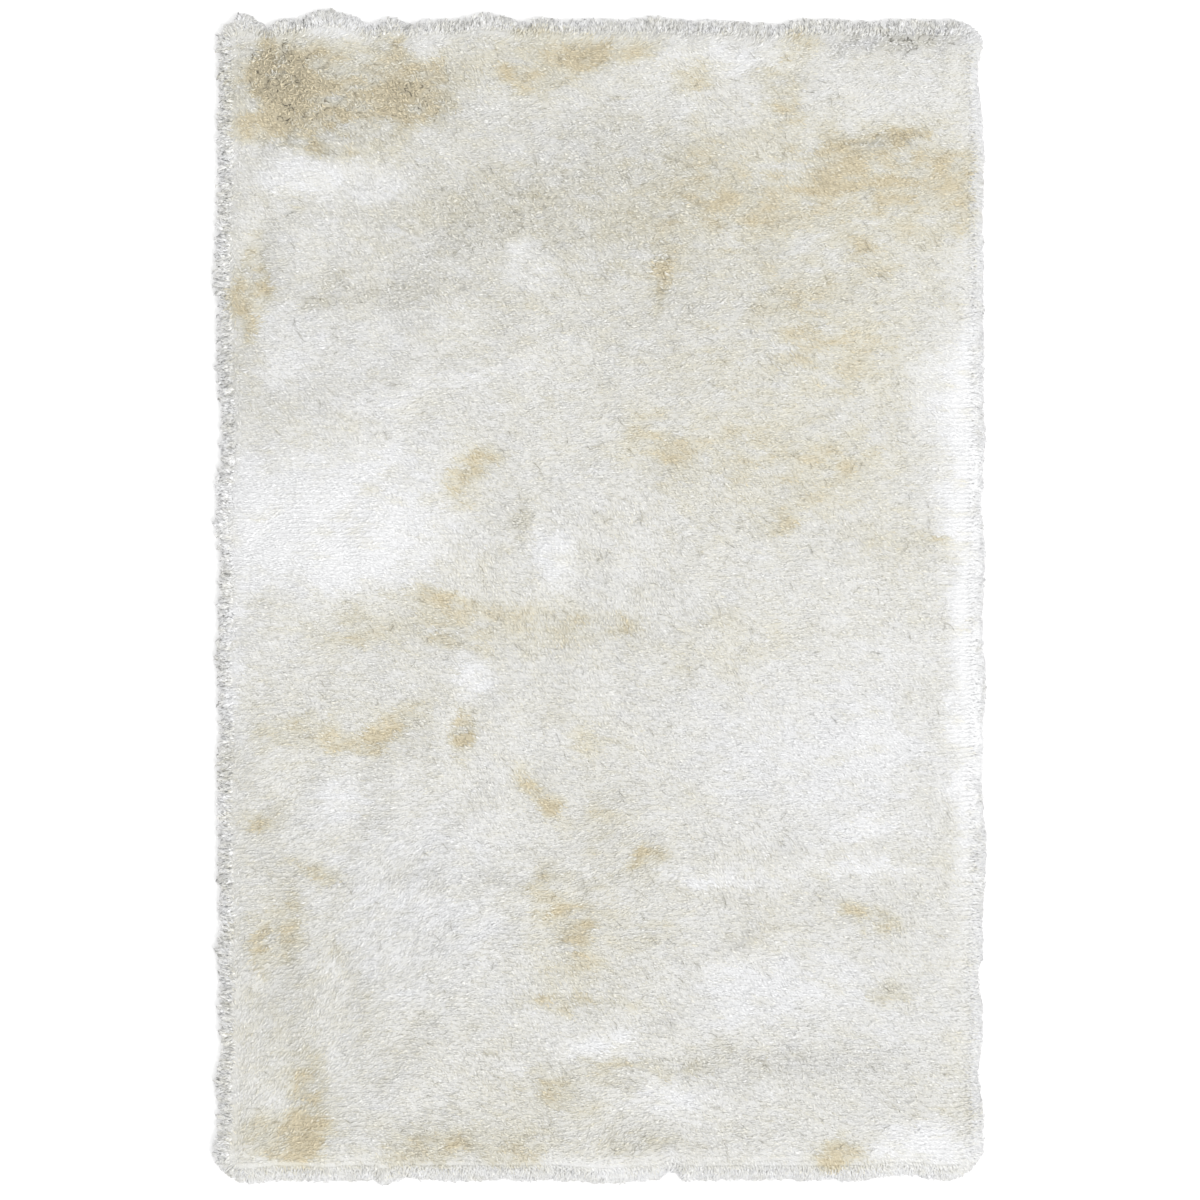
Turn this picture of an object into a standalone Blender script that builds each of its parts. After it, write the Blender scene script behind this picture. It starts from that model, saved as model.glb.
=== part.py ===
"""Shag rug, 1.52 m by 2.31 m over its pile, lying flat.

The rug is one closed solid: a lumpy slab as deep as the lying pile, with a
shoulder that falls towards its rim, a flat foot inside the rim, and a drooping
lock of yarn on every face of the rim. Lengths are in metres. +Y runs along the
rug, +Z is up, and the origin is the middle of the underside.
"""

import math
import random
from collections import namedtuple

import bmesh
import bpy
from mathutils import Vector, noise

# Driving sizes.
RUG_WIDTH = 1.522  # over the tips of the pile, along the straight of each side
RUG_LENGTH = 2.310
RUG_MIDDLE = (0.002, -0.006)  # centres the box of the uneven outline on the origin
PILE_TOP = 0.040  # mean height of the lying pile
RIM_TOP = 0.027  # height of the pile where its rim turns down
BELLY_HEIGHT = 0.008  # height at which the rim stands furthest out
SHOULDER = 0.075  # width of the band in which the pile falls from its top to its rim

# How far each ring of the slab lies inside the tips.
RIM_INSET = 0.014
BELLY_INSET = 0.007
FOOT_INSET = 0.025

# The grid of the top face. One lock grows on each cell of the rim.
CELLS_ACROSS = 44
CELLS_ALONG = 68
RIM_DENSITY = 0.4  # 0 for even cells, towards 1 for finer cells near the rim

# Tufts: soft lumps of the pile, and how unevenly single tufts stand.
LUMP_SIZE = 0.090
LUMP_RISE = 0.0075
TUFT_RISE = 0.0022
TUFT_SHIFT = 0.005
SEED = 11

# Radius of each corner, by the signs of its x and y.
CORNER_RADIUS = {
    (-1, 1): 0.036,
    (1, 1): 0.045,
    (1, -1): 0.065,
    (-1, -1): 0.040,
}

# The outline's bulges and notches. "along" is measured from the side's middle, towards +X on
# the head and foot and towards +Y on the left and right. "reach" is outward from the straight.
BULGE_DEPTH = 0.12  # how far into the rug a bulge still shifts the pile
Bulge = namedtuple("Bulge", "side along half_span reach")
BULGES = (
    Bulge("head", -0.715, 0.035, 0.013),
    Bulge("head", -0.663, 0.028, -0.013),
    Bulge("head", -0.545, 0.080, 0.020),
    Bulge("head", -0.460, 0.030, -0.010),
    Bulge("head", -0.417, 0.025, 0.006),
    Bulge("head", -0.383, 0.030, -0.010),
    Bulge("head", -0.225, 0.075, 0.013),
    Bulge("head", -0.155, 0.025, -0.007),
    Bulge("head", -0.119, 0.030, 0.007),
    Bulge("head", 0.119, 0.070, 0.004),
    Bulge("head", 0.333, 0.100, -0.010),
    Bulge("head", 0.540, 0.070, -0.005),
    Bulge("left", 1.110, 0.030, 0.007),
    Bulge("left", 0.660, 0.170, 0.007),
    Bulge("left", 0.335, 0.130, -0.007),
    Bulge("left", 0.155, 0.050, 0.006),
    Bulge("left", 0.060, 0.040, -0.004),
    Bulge("left", -0.100, 0.070, 0.005),
    Bulge("left", -0.258, 0.070, -0.003),
    Bulge("left", -0.417, 0.100, 0.003),
    Bulge("left", -0.639, 0.050, -0.006),
    Bulge("left", -0.703, 0.030, 0.004),
    Bulge("left", -0.766, 0.030, -0.006),
    Bulge("left", -0.893, 0.050, -0.006),
    Bulge("left", -0.957, 0.040, 0.006),
    Bulge("left", -1.100, 0.060, 0.010),
    Bulge("right", 1.040, 0.090, -0.010),
    Bulge("right", 0.885, 0.040, 0.003),
    Bulge("right", 0.314, 0.070, 0.004),
    Bulge("right", 0.187, 0.050, -0.005),
    Bulge("right", 0.091, 0.050, 0.005),
    Bulge("right", -0.163, 0.100, 0.006),
    Bulge("right", -0.353, 0.050, -0.005),
    Bulge("right", -0.500, 0.120, 0.006),
    Bulge("right", -0.755, 0.060, -0.009),
    Bulge("right", -0.950, 0.090, -0.010),
    Bulge("foot", -0.700, 0.060, 0.008),
    Bulge("foot", -0.550, 0.050, 0.004),
    Bulge("foot", -0.431, 0.030, 0.009),
    Bulge("foot", -0.383, 0.030, -0.004),
    Bulge("foot", 0.000, 0.100, 0.008),
    Bulge("foot", 0.141, 0.035, -0.017),
    Bulge("foot", 0.600, 0.090, -0.010),
)

# Partings, brushed hollows and swells of the pile. "heading" is in degrees from +X.
Fold = namedtuple("Fold", "x y half_length half_width heading rise")
FOLDS = (
    Fold(-0.520, 1.035, 0.260, 0.100, 0, -0.005),  # matted corner
    Fold(-0.676, 0.895, 0.090, 0.045, 4, -0.006),  # its lower step
    Fold(-0.448, 0.935, 0.160, 0.045, -6, -0.006),
    Fold(-0.666, 0.655, 0.230, 0.040, 90, -0.005),  # crease along the left side
    Fold(-0.570, 0.850, 0.130, 0.060, 20, 0.005),
    Fold(-0.110, 0.660, 0.110, 0.050, 70, 0.004),
    Fold(0.574, 1.015, 0.190, 0.060, 0, 0.006),  # swell above the right parting
    Fold(0.574, 0.915, 0.200, 0.050, -4, -0.008),  # right parting
    Fold(0.574, 0.800, 0.180, 0.100, 0, -0.004),
    Fold(0.300, 0.700, 0.170, 0.070, -48, -0.004),
    Fold(-0.458, 0.170, 0.280, 0.170, 0, 0.007),  # broad swell left of the middle
    Fold(-0.269, 0.250, 0.080, 0.050, 10, -0.005),
    Fold(0.108, 0.300, 0.100, 0.080, 60, -0.005),
    Fold(0.405, 0.220, 0.120, 0.080, -15, -0.004),
    Fold(0.703, -0.060, 0.660, 0.035, 90, -0.004),  # groove inside the right rim
    Fold(-0.398, -0.050, 0.220, 0.070, 8, -0.006),
    Fold(0.010, -0.055, 0.210, 0.055, -5, -0.004),
    Fold(-0.438, -0.275, 0.220, 0.060, 3, -0.005),
    Fold(-0.275, -0.275, 0.055, 0.045, 80, -0.006),
    Fold(-0.121, -0.360, 0.075, 0.050, -30, -0.006),
    Fold(0.376, -0.525, 0.240, 0.040, -3, 0.005),  # long ridge right of the middle
    Fold(0.380, -0.575, 0.220, 0.040, -3, -0.005),
    Fold(-0.676, -0.426, 0.070, 0.050, 0, -0.005),
    Fold(-0.640, -0.700, 0.150, 0.060, 80, -0.006),
    Fold(-0.071, -0.640, 0.140, 0.080, 60, -0.005),
    Fold(0.316, -0.694, 0.150, 0.040, 23, 0.006),  # crest of the triangular swell
    Fold(0.515, -0.651, 0.090, 0.040, -4, 0.006),
    Fold(0.376, -0.810, 0.200, 0.100, 15, 0.004),
    Fold(0.118, -0.972, 0.140, 0.060, -10, 0.004),
    Fold(-0.597, -1.000, 0.140, 0.080, 80, -0.006),
    Fold(0.465, -1.085, 0.100, 0.045, 0, -0.005),
    Fold(0.634, -1.060, 0.130, 0.060, 10, 0.005),
)

# Locks of yarn on the rim, as shares of the rim face that each grows from.
LOCK_BEND = 0.55  # how far out a lock turns down
LOCK_BEND_WIDTH = 0.86
LOCK_TIP_WIDTH = (0.34, 0.62)
LOCK_BEND_TOP = 0.021
LOCK_BEND_UNDERSIDE = 0.004
LOCK_TIP_TOP = (0.005, 0.010)
LOCK_REACH = (-0.002, 0.004)  # how far beyond the outline a lock may end
LOCK_SWAY = 0.005  # how far a tip may stray along the rim

YARN_COLOUR = (0.72, 0.70, 0.62, 1.0)
YARN_ROUGHNESS = 0.6


def clear_scene():
    for obj in list(bpy.data.objects):
        bpy.data.objects.remove(obj, do_unlink=True)


def bulge_at(side, along):
    """How far the outline stands out from the straight at one place of a side."""
    reach = 0.0
    for bulge in BULGES:
        off = (along - bulge.along) / bulge.half_span
        if bulge.side == side and abs(off) < 1:
            reach += bulge.reach * math.cos(off * math.pi / 2) ** 2
    return reach


def round_corner(x, y, half_width, half_length):
    """Draws the corner squares of a rectangle in to quarter discs."""
    sign_x = 1 if x > 0 else -1
    sign_y = 1 if y > 0 else -1
    radius = CORNER_RADIUS[sign_x, sign_y]
    p = 1 - (half_width - abs(x)) / radius
    q = 1 - (half_length - abs(y)) / radius
    if p <= 0 or q <= 0:
        return x, y
    out_x = radius * p * math.sqrt(1 - q * q / 2)
    out_y = radius * q * math.sqrt(1 - p * p / 2)
    return (
        sign_x * (half_width - radius + out_x),
        sign_y * (half_length - radius + out_y),
    )


def plan_point(u, v):
    """The place in plan of a point of the square from -1 to 1, on the rug's uneven outline."""
    half_width = RUG_WIDTH / 2 - RIM_INSET
    half_length = RUG_LENGTH / 2 - RIM_INSET
    x, y = round_corner(half_width * u, half_length * v, half_width, half_length)
    fade_x = max(0.0, 1 - (half_width - abs(x)) / BULGE_DEPTH) ** 2
    fade_y = max(0.0, 1 - (half_length - abs(y)) / BULGE_DEPTH) ** 2
    out_x = bulge_at("right" if x > 0 else "left", y) * fade_x
    out_y = bulge_at("head" if y > 0 else "foot", x) * fade_y
    x += math.copysign(1, x) * out_x + RUG_MIDDLE[0]
    y += math.copysign(1, y) * out_y + RUG_MIDDLE[1]
    return x, y


def fold_rise(x, y):
    """The sum of the folds at one place, each a soft ellipse."""
    rise = 0.0
    for fold in FOLDS:
        heading = math.radians(fold.heading)
        dx = x - fold.x
        dy = y - fold.y
        along = (dx * math.cos(heading) + dy * math.sin(heading)) / fold.half_length
        across = (dy * math.cos(heading) - dx * math.sin(heading)) / fold.half_width
        off = math.hypot(along, across)
        if off < 1:
            rise += fold.rise * math.cos(off * math.pi / 2) ** 2
    return rise


def pile_height(x, y, inside):
    """Height of the lying pile at one place, which is this far inside the rim."""
    fall = max(0.0, 1 - inside / SHOULDER) ** 2
    lumps = LUMP_RISE * noise.noise(Vector((x, y, 0.0)) / LUMP_SIZE)
    unevenness = (fold_rise(x, y) + lumps) * (1 - fall)
    return PILE_TOP - (PILE_TOP - RIM_TOP) * fall + unevenness


def denser_at_rim(u):
    return (1 - RIM_DENSITY) * u + RIM_DENSITY * math.sin(u * math.pi / 2)


def add_top(bm, rng):
    """The top face: a grid drawn in to the outline and raised to the lying pile."""
    bmesh.ops.create_grid(bm, x_segments=CELLS_ACROSS, y_segments=CELLS_ALONG, size=1.0)
    for vert in bm.verts:
        u = denser_at_rim(vert.co.x)
        v = denser_at_rim(vert.co.y)
        x, y = plan_point(u, v)
        inside = min((1 - abs(u)) * RUG_WIDTH, (1 - abs(v)) * RUG_LENGTH) / 2
        z = pile_height(x, y, inside)
        if not vert.is_boundary:
            x += rng.uniform(-TUFT_SHIFT, TUFT_SHIFT)
            y += rng.uniform(-TUFT_SHIFT, TUFT_SHIFT)
            z += rng.uniform(-TUFT_RISE, TUFT_RISE)
        vert.co = (x, y, z)


def outward_at(vert):
    """The direction in plan that leaves the rug squarely at a vertex of its open rim."""
    total = Vector((0.0, 0.0))
    for edge in vert.link_edges:
        if edge.is_boundary:
            run = (edge.verts[1].co - edge.verts[0].co).xy
            square = Vector((run.y, -run.x)).normalized()
            away = vert.co.xy - edge.link_faces[0].calc_center_median().xy
            total += square if square.dot(away) > 0 else -square
    return total.normalized()


def extend_rim(bm, outward, height):
    """Grows a band of faces from the open rim, to a ring this far out, and returns them."""
    rim = [edge for edge in bm.edges if edge.is_boundary]
    directions = {vert: outward_at(vert) for edge in rim for vert in edge.verts}
    grown = bmesh.ops.extrude_edge_only(bm, edges=rim)["geom"]
    for vert in grown:
        if isinstance(vert, bmesh.types.BMVert):
            base = next(
                edge.other_vert(vert)
                for edge in vert.link_edges
                if edge.other_vert(vert) in directions
            )
            shift = directions[base] * outward
            vert.co = (base.co.x + shift.x, base.co.y + shift.y, height)
    return [face for face in grown if isinstance(face, bmesh.types.BMFace)]


def shape_cap(cap, centre, outward, width, sway, top, underside):
    """Places one end of a lock: its width is scaled, and it stands level at its own height."""
    along = Vector((-outward.y, outward.x, 0.0)).normalized()
    for vert in cap.verts:
        across = (vert.co - centre).dot(along) * width + sway
        height = top if vert.co.z > centre.z else underside
        vert.co = centre + outward + along * across
        vert.co.z = height


def bearing(face):
    """The direction of a face from the rug's middle, which puts the rim's faces in order."""
    centre = face.calc_center_median()
    return math.atan2(centre.y, centre.x)


def add_locks(bm, rim_faces, rng):
    """Draws each face of the rim out into a lock that droops and rests its tip on the floor."""
    roots = bmesh.ops.extrude_discrete_faces(bm, faces=rim_faces)["faces"]
    for root in sorted(roots, key=bearing):
        centre = root.calc_center_median()
        outward = root.normal.copy()
        outward.z = 0.0
        outward.normalize()
        reach = (RIM_INSET + BELLY_INSET) / 2 + rng.uniform(*LOCK_REACH)
        sway = rng.uniform(-LOCK_SWAY, LOCK_SWAY)
        shape_cap(
            root,
            centre,
            outward * reach * LOCK_BEND,
            LOCK_BEND_WIDTH,
            sway * LOCK_BEND,
            LOCK_BEND_TOP,
            LOCK_BEND_UNDERSIDE,
        )
        tip = bmesh.ops.extrude_discrete_faces(bm, faces=[root])["faces"][0]
        shape_cap(
            tip,
            Vector((centre.x, centre.y, (LOCK_BEND_TOP + LOCK_BEND_UNDERSIDE) / 2)),
            outward * reach,
            rng.uniform(*LOCK_TIP_WIDTH),
            sway,
            rng.uniform(*LOCK_TIP_TOP),
            0.0,
        )


def yarn_material():
    material = bpy.data.materials.new("ivory_yarn")
    material.use_nodes = True
    shader = material.node_tree.nodes["Principled BSDF"]
    shader.inputs["Base Color"].default_value = YARN_COLOUR
    shader.inputs["Roughness"].default_value = YARN_ROUGHNESS
    shader.inputs["Metallic"].default_value = 0.0
    return material


def build_rug():
    rng = random.Random(SEED)
    bm = bmesh.new()
    add_top(bm, rng)
    rim_faces = extend_rim(bm, RIM_INSET - BELLY_INSET, BELLY_HEIGHT)
    extend_rim(bm, BELLY_INSET - FOOT_INSET, 0.0)
    foot = [edge for edge in bm.edges if edge.is_boundary]
    bmesh.ops.edgeloop_fill(bm, edges=foot)
    bmesh.ops.recalc_face_normals(bm, faces=bm.faces)
    add_locks(bm, rim_faces, rng)
    bmesh.ops.recalc_face_normals(bm, faces=bm.faces)
    mesh = bpy.data.meshes.new("shag_rug")
    bm.to_mesh(mesh)
    bm.free()
    mesh.shade_smooth()
    mesh.materials.append(yarn_material())
    return bpy.data.objects.new("shag_rug", mesh)


def main():
    clear_scene()
    collection = bpy.data.collections.new("shag_rug")
    bpy.context.scene.collection.children.link(collection)
    collection.objects.link(build_rug())


main()
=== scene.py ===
"""Looks of the shag rug: its cloth, the mass of its pile, and each yarn end that shows.

Lengths are in metres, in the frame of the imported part: +X to the rug's right side, +Y to its
head, +Z up. The outline, the lumps and the folds repeat the part's own values.
"""

import math
from collections import namedtuple

import bmesh
import bpy
import numpy as np
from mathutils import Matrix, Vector, noise


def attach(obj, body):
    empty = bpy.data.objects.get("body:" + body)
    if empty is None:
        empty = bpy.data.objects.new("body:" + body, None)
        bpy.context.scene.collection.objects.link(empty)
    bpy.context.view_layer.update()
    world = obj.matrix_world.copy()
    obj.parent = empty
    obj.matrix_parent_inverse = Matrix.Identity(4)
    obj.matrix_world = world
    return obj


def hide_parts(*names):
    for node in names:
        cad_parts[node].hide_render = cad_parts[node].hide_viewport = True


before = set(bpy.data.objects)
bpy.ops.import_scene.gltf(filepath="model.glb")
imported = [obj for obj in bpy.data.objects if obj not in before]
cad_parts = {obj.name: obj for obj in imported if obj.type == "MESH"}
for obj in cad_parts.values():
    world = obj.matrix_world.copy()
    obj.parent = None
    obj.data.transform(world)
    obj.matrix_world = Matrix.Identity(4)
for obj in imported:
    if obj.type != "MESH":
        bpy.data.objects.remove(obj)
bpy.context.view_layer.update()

SEED = 11

# The part's sizes.
RUG_WIDTH = 1.522
RUG_LENGTH = 2.310
RUG_MIDDLE = (0.002, -0.006)
PILE_TOP = 0.040
RIM_TOP = 0.027
SHOULDER = 0.075  # width of the band in which the pile falls from its top to its rim
RIM_INSET = 0.014
LEAST_RADIUS = 0.012
LUMP_SIZE = 0.090
LUMP_RISE = 0.0075
BULGE_DEPTH = 0.12
CORNER_RADIUS = {
    (-1, 1): 0.036,
    (1, 1): 0.045,
    (1, -1): 0.065,
    (-1, -1): 0.040,
}

# Where the outline stands out from the straight: place along the side, half span and reach.
BULGES = {
    "head": (
        (-0.715, 0.035, 0.013), (-0.663, 0.028, -0.013), (-0.545, 0.080, 0.020),
        (-0.460, 0.030, -0.010), (-0.417, 0.025, 0.006), (-0.383, 0.030, -0.010),
        (-0.225, 0.075, 0.013), (-0.155, 0.025, -0.007), (-0.119, 0.030, 0.007),
        (0.119, 0.070, 0.004), (0.333, 0.100, -0.010), (0.540, 0.070, -0.005),
    ),
    "left": (
        (1.110, 0.030, 0.007), (0.660, 0.170, 0.007), (0.335, 0.130, -0.007),
        (0.155, 0.050, 0.006), (0.060, 0.040, -0.004), (-0.100, 0.070, 0.005),
        (-0.258, 0.070, -0.003), (-0.417, 0.100, 0.003), (-0.639, 0.050, -0.006),
        (-0.703, 0.030, 0.004), (-0.766, 0.030, -0.006), (-0.893, 0.050, -0.006),
        (-0.957, 0.040, 0.006), (-1.100, 0.060, 0.010),
    ),
    "right": (
        (1.040, 0.090, -0.010), (0.885, 0.040, 0.003), (0.314, 0.070, 0.004),
        (0.187, 0.050, -0.005), (0.091, 0.050, 0.005), (-0.163, 0.100, 0.006),
        (-0.353, 0.050, -0.005), (-0.500, 0.120, 0.006), (-0.755, 0.060, -0.009),
        (-0.950, 0.090, -0.010),
    ),
    "foot": (
        (-0.700, 0.060, 0.008), (-0.550, 0.050, 0.004), (-0.431, 0.030, 0.009),
        (-0.383, 0.030, -0.004), (0.000, 0.100, 0.008), (0.141, 0.035, -0.017),
        (0.600, 0.090, -0.010),
    ),
}

# Partings, brushed hollows and swells of the pile. "heading" is in degrees from +X.
Fold = namedtuple("Fold", "x y half_length half_width heading rise")
FOLDS = [Fold(*row) for row in (
    (-0.520, 1.035, 0.260, 0.100, 0, -0.005),  # matted corner
    (-0.676, 0.895, 0.090, 0.045, 4, -0.006),  # its lower step
    (-0.448, 0.935, 0.160, 0.045, -6, -0.006),
    (-0.666, 0.655, 0.230, 0.040, 90, -0.005),  # crease along the left side
    (-0.570, 0.850, 0.130, 0.060, 20, 0.005),
    (-0.110, 0.660, 0.110, 0.050, 70, 0.004),
    (0.574, 1.015, 0.190, 0.060, 0, 0.006),  # swell above the right parting
    (0.574, 0.915, 0.200, 0.050, -4, -0.008),  # right parting
    (0.574, 0.800, 0.180, 0.100, 0, -0.004),
    (0.300, 0.700, 0.170, 0.070, -48, -0.004),
    (-0.458, 0.170, 0.280, 0.170, 0, 0.007),  # broad swell left of the middle
    (-0.269, 0.250, 0.080, 0.050, 10, -0.005),
    (0.108, 0.300, 0.100, 0.080, 60, -0.005),
    (0.405, 0.220, 0.120, 0.080, -15, -0.004),
    (0.703, -0.060, 0.660, 0.035, 90, -0.004),  # groove inside the right rim
    (-0.398, -0.050, 0.220, 0.070, 8, -0.006),
    (0.010, -0.055, 0.210, 0.055, -5, -0.004),
    (-0.438, -0.275, 0.220, 0.060, 3, -0.005),
    (-0.275, -0.275, 0.055, 0.045, 80, -0.006),
    (-0.121, -0.360, 0.075, 0.050, -30, -0.006),
    (0.376, -0.525, 0.240, 0.040, -3, 0.005),  # long ridge right of the middle
    (0.380, -0.575, 0.220, 0.040, -3, -0.005),
    (-0.676, -0.426, 0.070, 0.050, 0, -0.005),
    (-0.640, -0.700, 0.150, 0.060, 80, -0.006),
    (-0.071, -0.640, 0.140, 0.080, 60, -0.005),
    (0.316, -0.694, 0.150, 0.040, 23, 0.006),  # crest of the triangular swell
    (0.515, -0.651, 0.090, 0.040, -4, 0.006),
    (0.376, -0.810, 0.200, 0.100, 15, 0.004),
    (0.118, -0.972, 0.140, 0.060, -10, 0.004),
    (-0.597, -1.000, 0.140, 0.080, 80, -0.006),
    (0.465, -1.085, 0.100, 0.045, 0, -0.005),
    (0.634, -1.060, 0.130, 0.060, 10, 0.005),
)]

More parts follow.
